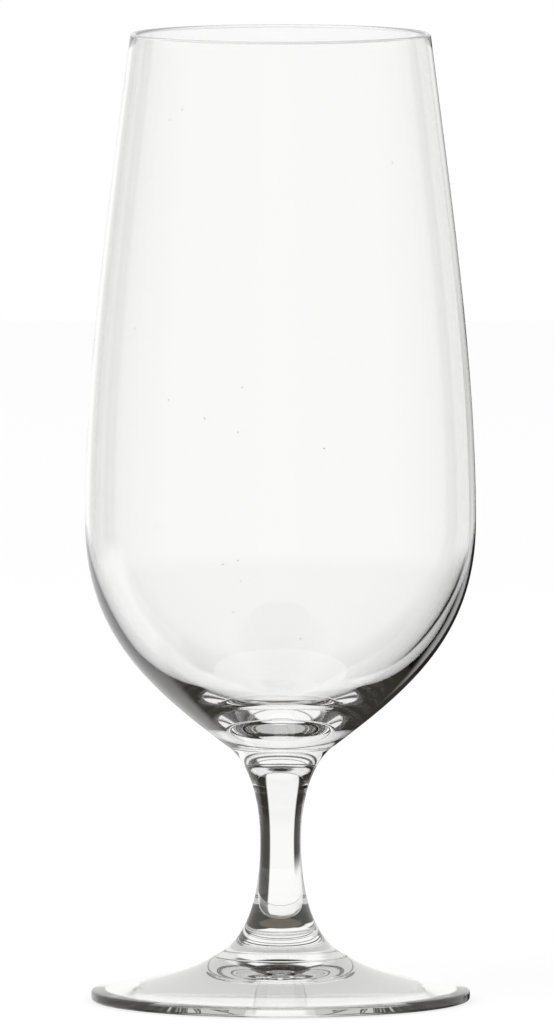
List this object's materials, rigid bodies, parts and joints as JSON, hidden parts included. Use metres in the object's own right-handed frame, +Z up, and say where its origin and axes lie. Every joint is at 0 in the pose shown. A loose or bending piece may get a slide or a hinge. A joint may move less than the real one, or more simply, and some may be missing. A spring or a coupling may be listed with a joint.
{
  "type": "stemmed beer glass",
  "caption": "Clear stemmed beer glass: a tall bowl that narrows gently to the rim, a short waisted stem and a round foot, hollow underneath.",
  "frame": {"origin": "middle of the foot, in the plane that it rests on", "axes": "+Z up along the glass's round axis, from foot to rim; X and Y are alike"},
  "size_m": [0.0808, 0.0808, 0.2],
  "materials": {
    "bowl_glass": "clear, colourless, fire-polished",
    "stem_glass": "clear, colourless, fire-polished",
    "foot_glass": "clear, colourless, pressed and fire-polished"
  },
  "bodies": {
    "root": {"bowl": "bowl_glass", "stem": "stem_glass", "foot": "foot_glass"}
  },
  "joints": []
}
